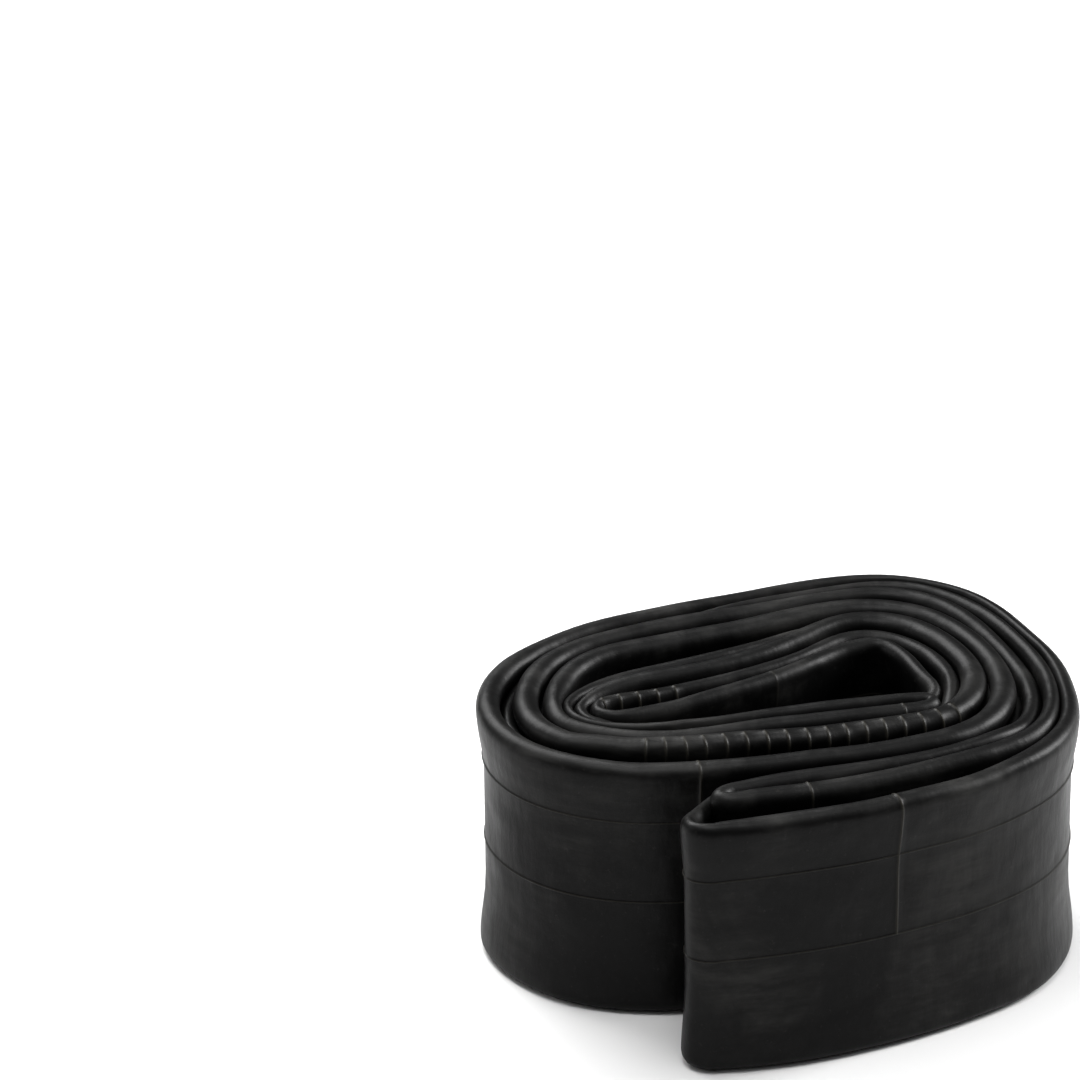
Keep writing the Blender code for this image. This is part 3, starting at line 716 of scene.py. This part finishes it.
def tidy_mesh(mesh):
    """Closes the poles, turns the faces outwards and puts the mesh in the valve's place."""
    shape = bmesh.new()
    shape.from_mesh(mesh)
    bmesh.ops.remove_doubles(shape, verts=shape.verts, dist=0.000002)
    bmesh.ops.recalc_face_normals(shape, faces=shape.faces)
    shape.to_mesh(mesh)
    shape.free()
    mesh.polygons.foreach_set("use_smooth", [True] * len(mesh.polygons))
    mesh.set_sharp_from_angle(angle=SHARP)
    mesh.transform(valve_place)
    return mesh


def turned(name, outline, material, body, node, steps=64, shape=None, size=0.12, closed=True):
    """A turned piece in its place, from its outline of (along, radius) points."""
    mesh = turned_mesh(name, outline, steps, shape, size, closed)
    new_piece(name, mesh, material, body, node)


def thread_shape(along, radius, turn):
    """A right-hand thread cut round the outside of the stem's head."""
    phase = (along - THREAD_START) / THREAD_PITCH - turn / math.tau
    crest = 1.0 - 2.0 * np.abs(phase - np.floor(phase) - 0.5)
    crest = np.clip(crest * 1.25 - 0.05, 0.0, 1.0)
    run = smoothstep((along - THREAD_START) / 0.8) * smoothstep((STEM_END - 0.3 - along) / 0.8)
    outside = (radius > THREAD_ROOT - 0.02) & (along > THREAD_START)
    return np.where(outside, radius + THREAD_DEPTH * crest * run, radius)


def knurl_shape(along, radius, turn):
    """Grooves along the outside of the cap, for the fingers."""
    groove = smoothstep(np.cos(turn * KNURLS) * 1.6 - 0.1)
    run = smoothstep((along - CAP_START - 0.6) / 0.8) * smoothstep((CAP_END - 1.3 - along) / 1.2)
    return np.where(radius > CAP_RADIUS - 0.15, radius - KNURL_DEPTH * groove * run, radius)


def flat_shape(along, radius, turn):
    """The two flats of the plug, for the key that screws it in."""
    widest = PLUG_FLAT / np.maximum(np.abs(np.cos(turn)), 0.05)
    flat = (along > PLUG_FLAT_START + 0.02) & (radius > PLUG_FLAT)
    return np.where(flat, np.minimum(radius, widest), radius)


def spring_mesh(name):
    """A helix of round wire with closed ends."""
    steps = SPRING_TURNS * SPRING_STEPS
    turn = np.arange(steps + 1) * math.tau / SPRING_STEPS
    along = SPRING_START + (SPRING_END - SPRING_START) * np.arange(steps + 1) / steps
    angle = np.arange(SPRING_RIM) * math.tau / SPRING_RIM
    radius = SPRING_RADIUS + SPRING_WIRE * np.cos(angle)[None]
    x = along[:, None] + SPRING_WIRE * np.sin(angle)[None]
    grid = np.stack([x, radius * np.cos(turn)[:, None], radius * np.sin(turn)[:, None]], axis=-1)
    index = np.arange((steps + 1) * SPRING_RIM).reshape(steps + 1, SPRING_RIM)
    faces = strip_quads(index[:-1], index[1:]).tolist()
    faces += [index[0].tolist(), index[-1][::-1].tolist()]
    mesh = bpy.data.meshes.new(name)
    mesh.from_pydata((grid.reshape(-1, 3) * MM).tolist(), [], faces)
    mesh.uv_layers.new(name="turn")
    return tidy_mesh(mesh)


def brass(name, colour, worn, rough):
    """Turned brass: fine tool lines round the axis, and a little tarnish."""
    m = Nodes(name)
    turn = m.add("UVMap", {"uv_map": "turn"}).outputs["UV"]
    place = m.add("TexCoord").outputs["Object"]
    lines = m.noise(m.scaled(turn, (9000.0, 2.0, 1.0)), 1.0, 3.0, 0.6)
    stain = m.noise(place, 420.0, 4.0, 0.6)
    m.set(m.shader, "Base Color", m.mix(m.ramp(stain, (0.4, 0.0), (0.68, 0.75)), colour, worn))
    m.set(m.shader, "Metallic", 1.0)
    change = m.math("ADD", m.math("MULTIPLY", stain, 0.2), m.math("MULTIPLY", lines, 0.12))
    m.set(m.shader, "Roughness", m.math("ADD", change, rough - 0.14))
    m.set(m.shader, "Normal", m.bump(lines, 0.00002, 0.4))
    return m.material


def steel(name):
    """Drawn steel wire: grey, with fine marks along it."""
    m = Nodes(name)
    place = m.add("TexCoord").outputs["Object"]
    marks = m.noise(place, 3000.0, 3.0, 0.6)
    m.set(m.shader, "Base Color", m.mix(marks, (0.42, 0.42, 0.44), (0.66, 0.66, 0.68)))
    m.set(m.shader, "Metallic", 1.0)
    m.set(m.shader, "Roughness", m.math("ADD", m.math("MULTIPLY", marks, 0.2), 0.16))
    return m.material


def soft(name, dark, dusty, rough, grain_scale, relief):
    """Moulded rubber or plastic: a matte skin with a fine grain and some dust."""
    m = Nodes(name)
    place = m.add("TexCoord").outputs["Object"]
    dust = m.ramp(m.noise(place, 260.0, 5.0, 0.62), (0.42, 0.0), (0.7, 1.0))
    grain = m.noise(place, grain_scale, 3.0, 0.6)
    m.set(m.shader, "Base Color", m.mix(dust, dark, dusty))
    m.set(m.shader, "Specular IOR Level", 0.3)
    change = m.math("ADD", m.math("MULTIPLY", dust, 0.12), m.math("MULTIPLY", grain, 0.1))
    m.set(m.shader, "Roughness", m.math("ADD", change, rough - 0.08))
    m.set(m.shader, "Normal", m.bump(grain, relief, 0.5))
    return m.material


def make_valve():
    """The valve's pieces, each turned about the axis that the cap's joint gives."""
    turned(
        "valve_patch",
        [(-0.5, 0.0), (-0.5, 5.3), (0.0, 5.2), (0.5, 4.9), (0.9, 4.6), (1.4, 4.35), (1.4, 0.0)],
        soft("patch_rubber", (0.012, 0.012, 0.012), (0.05, 0.048, 0.044), 0.62, 2400.0, 0.00004),
        "coil", "valve_base_patch", size=0.3, closed=False,
    )
    turned(
        "stem_sleeve",
        [
            (1.45, 3.2), (1.45, 4.4), (2.2, 4.28), (3.4, 4.2), (10.0, 4.2), (10.3, 4.32),
            (10.9, 4.32), (11.2, 4.2), (31.2, 4.12), (31.5, 4.2), (33.0, 4.2), (33.6, 3.8),
            (33.6, 3.2),
        ],
        soft("sleeve_rubber", (0.009, 0.009, 0.0095), (0.03, 0.029, 0.027), 0.55, 2600.0, 0.00004),
        "coil", "stem_rubber_sleeve",
    )
    thread = [(THREAD_START + 0.1 * k, THREAD_ROOT) for k in range(1, 102)]
    turned(
        "stem",
        [
            (1.5, 2.2), (1.5, 2.9), (37.4, 2.9), *thread, (STEM_END, 2.9), (STEM_END, 2.75),
            (41.0, 2.75), (40.5, 2.2),
        ],
        brass("stem_brass", (0.78, 0.6, 0.3), (0.5, 0.36, 0.17), 0.3),
        "coil", "valve_stem", steps=72, shape=thread_shape, size=0.06,
    )
    turned(
        "plug",
        [
            (41.3, 1.42), (41.3, 2.45), (PLUG_FLAT_START, 2.45), (PLUG_FLAT_START + 0.03, 2.45),
            (46.8, 2.45), (46.8, 0.8), (42.9, 0.8), (42.9, 1.42),
        ],
        brass("plug_brass", (0.72, 0.52, 0.24), (0.46, 0.31, 0.13), 0.34),
        "coil", "core_plug", steps=96, shape=flat_shape, size=0.08,
    )
    turned(
        "barrel",
        [
            (34.6, 0.8), (34.6, 1.4), (36.2, 1.4), (36.2, 1.85), (41.0, 1.85), (41.0, 1.42),
            (37.0, 1.42), (37.0, 0.8),
        ],
        brass("barrel_brass", (0.74, 0.56, 0.28), (0.48, 0.34, 0.16), 0.33),
        "coil", "core_barrel", size=0.08,
    )
    turned(
        "gasket",
        [(34.6, 1.7), (34.6, 1.9), (35.9, 2.1), (35.9, 1.7)],
        soft("gasket_rubber", (0.4, 0.06, 0.04), (0.5, 0.16, 0.11), 0.55, 2600.0, 0.00002),
        "coil", "core_gasket", size=0.1,
    )
    new_piece(
        "spring", spring_mesh("spring"), steel("spring_steel"), "coil", "core_spring"
    )
    turned(
        "pin",
        [
            (29.0, 0.0), (29.0, 0.8), (29.8, 0.8), (29.8, 0.5), (41.5, 0.5), (41.5, 1.1),
            (42.1, 1.1), (42.1, 0.5), (47.2, 0.5), (47.2, 0.75), (47.6, 0.75), (47.6, 0.0),
        ],
        brass("pin_brass", (0.76, 0.58, 0.3), (0.5, 0.36, 0.18), 0.28),
        "pin", "core_pin", steps=40, size=0.1, closed=False,
    )
    turned(
        "cup",
        [(32.1, 0.8), (32.1, 1.3), (33.3, 1.75), (34.3, 1.75), (34.3, 0.8)],
        soft("cup_rubber", (0.012, 0.012, 0.012), (0.04, 0.04, 0.04), 0.55, 2600.0, 0.00002),
        "pin", "pin_cup", steps=48, size=0.15,
    )
    sides = [(CAP_START + 0.35 + 0.25 * k, CAP_RADIUS) for k in range(40)]
    turned(
        "cap",
        [
            (49.1, 0.0), (49.1, 3.8), (48.8, 4.1), (CAP_START, 4.1), (CAP_START, 4.45), *sides,
            (49.1, 4.35), (49.7, 3.75), (50.15, 3.2), (50.4, 2.5), (50.3, 2.2), (50.3, 0.0),
        ],
        soft("cap_plastic", (0.008, 0.008, 0.009), (0.024, 0.024, 0.024), 0.42, 2200.0, 0.00003),
        "cap", "valve_cap", steps=KNURLS * 6, shape=knurl_shape, size=0.1, closed=False,
    )
    turned(
        "seal",
        [(48.3, 0.0), (48.3, 3.8), (48.8, 3.8), (48.8, 0.0)],
        soft("seal_rubber", (0.014, 0.014, 0.014), (0.06, 0.06, 0.06), 0.6, 2400.0, 0.00003),
        "cap_carrier", "cap_seal", steps=48, size=0.12, closed=False,
    )


def make_tube():
    """The wound strip."""
    stations, grid, marked, total = tube_mesh()
    mesh = loop_mesh("inner_tube", grid, marked, stations, total)
    new_piece("inner_tube", mesh, butyl(), "coil", "rubber_tube")


# The camera, where the photographer's stood
CAMERA_PLACE = (-0.48143, -0.77113, 0.5318)
CAMERA_FORWARD = Vector((0.43423, 0.78287, -0.44560)).normalized()
CAMERA_RIGHT = Vector((0.87983, -0.47470, 0.02338))
LENS = 189.35
SENSOR = 36.0

# The light: each lamp's place, the length of its sides and its power in watts
LAMPS = {
    "overhead": ((-0.15, -0.1, 1.1), 0.5, 0.5, 8.0),
    "back": ((-0.1, 0.75, 0.8), 0.7, 0.7, 19.0),
    "left": ((-0.95, 0.4, 0.45), 0.35, 0.5, 1.6),
    "right": ((1.0, -0.1, 0.55), 0.35, 0.5, 19.0),
}
LAMP_TARGET = (0, 0, 0.03)
SKY_STRENGTH = 0.55
SKY = ((0.22, 0.03), (0.9, 1.0))  # its brightness from low to high, as (height, grey)
FLOOR_GREY = 0.66
FLOOR_SIZE = 30.0
FLOOR_DROP = 0.0002  # keeps the floor clear of the lower edges


def make_camera():
    """The camera at the photo's angle."""
    right = (CAMERA_RIGHT - CAMERA_FORWARD * CAMERA_RIGHT.dot(CAMERA_FORWARD)).normalized()
    data = bpy.data.cameras.new("camera")
    data.lens = LENS
    data.sensor_width = SENSOR
    data.clip_start = 0.05
    camera = bpy.data.objects.new("camera", data)
    camera.matrix_world = placed(CAMERA_PLACE, right, right.cross(CAMERA_FORWARD), -CAMERA_FORWARD)
    bpy.context.scene.collection.objects.link(camera)
    bpy.context.scene.camera = camera


def area_light(name, place, size, size_y, energy):
    """A soft lamp that faces the coil."""
    data = bpy.data.lights.new(name, "AREA")
    data.shape = "RECTANGLE"
    data.size = size
    data.size_y = size_y
    data.energy = energy
    light = bpy.data.objects.new(name, data)
    light.location = place
    facing = Vector(LAMP_TARGET) - Vector(place)
    light.rotation_euler = facing.to_track_quat("-Z", "Y").to_euler()
    bpy.context.scene.collection.objects.link(light)


def make_floor():
    """A plain pale floor."""
    bpy.ops.mesh.primitive_plane_add(size=FLOOR_SIZE, location=(0, 0, -FLOOR_DROP))
    floor = bpy.context.object
    floor.name = "floor"
    m = Nodes("floor")
    m.set(m.shader, "Base Color", (FLOOR_GREY, FLOOR_GREY, FLOOR_GREY, 1))
    m.set(m.shader, "Roughness", 0.6)
    floor.data.materials.append(m.material)


def make_light():
    """A sky that is brighter overhead, and four soft lamps."""
    world = bpy.data.worlds.new("world")
    world.use_nodes = True
    sky = world.node_tree
    direction = sky.nodes.new("ShaderNodeTexCoord")
    split = sky.nodes.new("ShaderNodeSeparateXYZ")
    sky.links.new(direction.outputs["Generated"], split.inputs["Vector"])
    ramp = sky.nodes.new("ShaderNodeValToRGB")
    sky.links.new(split.outputs["Z"], ramp.inputs["Fac"])
    for element, (height, value) in zip(ramp.color_ramp.elements, SKY):
        element.position = height
        element.color = (value, value, value, 1)
    background = sky.nodes["Background"]
    sky.links.new(ramp.outputs["Color"], background.inputs["Color"])
    background.inputs["Strength"].default_value = SKY_STRENGTH
    bpy.context.scene.world = world
    for name, lamp in LAMPS.items():
        area_light(name, *lamp)
    bpy.context.scene.view_settings.view_transform = "Standard"


make_tube()
make_valve()
make_camera()
make_floor()
make_light()
